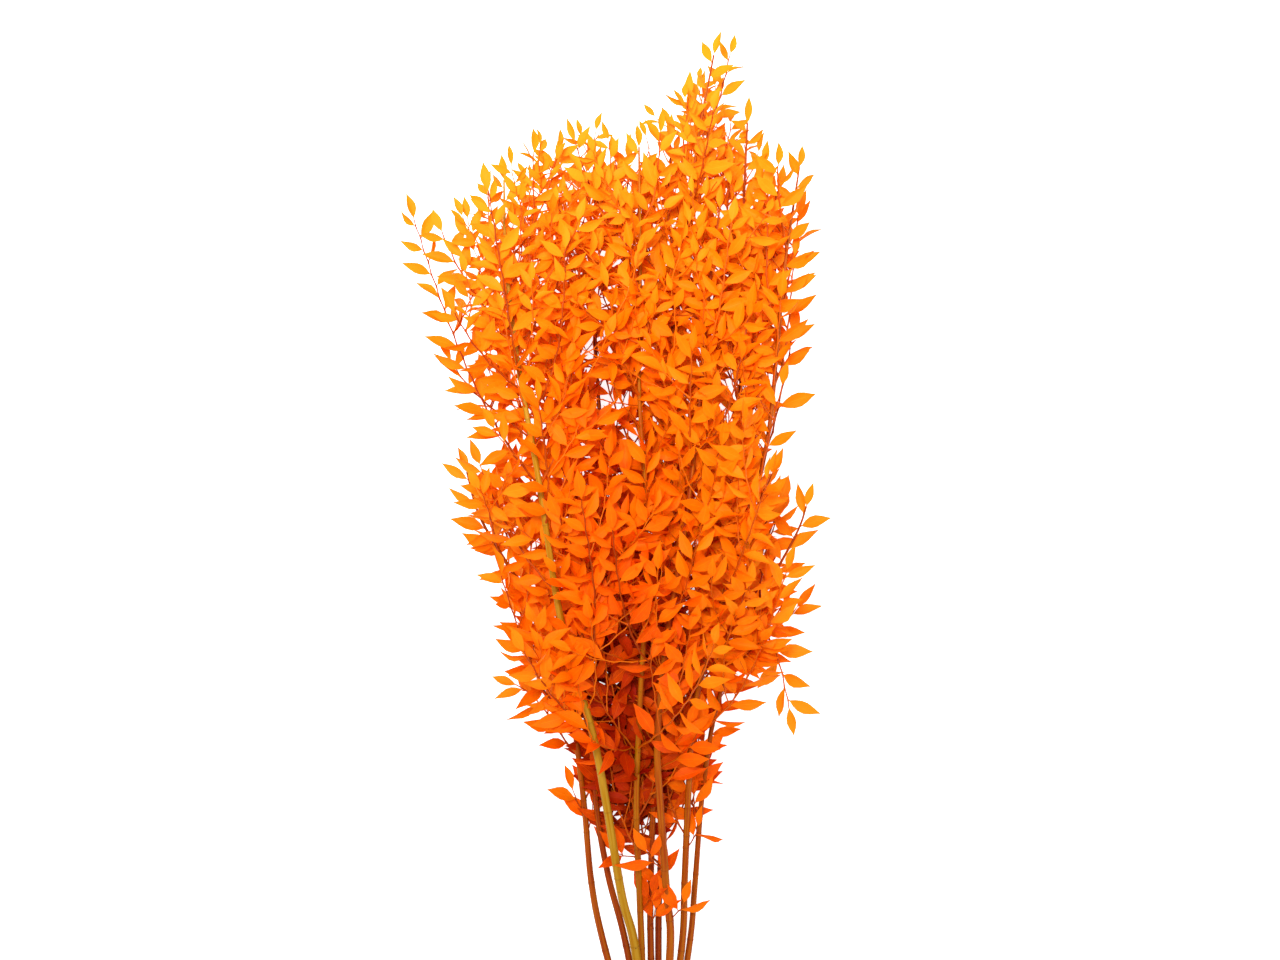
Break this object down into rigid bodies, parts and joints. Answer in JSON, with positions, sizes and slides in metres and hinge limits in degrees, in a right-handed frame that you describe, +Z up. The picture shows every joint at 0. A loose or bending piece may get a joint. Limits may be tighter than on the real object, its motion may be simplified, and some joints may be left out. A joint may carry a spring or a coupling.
{
  "type": "dried ruscus bunch",
  "caption": "Bunch of dyed dried ruscus stems lying down: slim woody canes fan out into sprays of small pointed leaves, held near the cut ends by a rubber band.",
  "frame": {"origin": "on the surface the bunch lies on, under the middle of the rubber band", "axes": "+Y along the canes from the cut ends to the leafy tips, +Z up, +X to the right as seen from above with the tips at the top"},
  "size_m": [0.3213, 0.908, 0.1897],
  "materials": {
    "dyed_stem": "satin, dyed orange",
    "natural_rubber": "matt"
  },
  "bodies": {
    "root": {"stem_far_left": "dyed_stem", "stem_left_back": "dyed_stem", "stem_centre_back": "dyed_stem", "stem_far_right": "dyed_stem", "stem_centre_left": "dyed_stem", "stem_centre_tall": "dyed_stem", "stem_right_tall": "dyed_stem", "stem_left_front": "dyed_stem", "stem_centre_front": "dyed_stem", "rubber_band": "natural_rubber"}
  },
  "joints": []
}
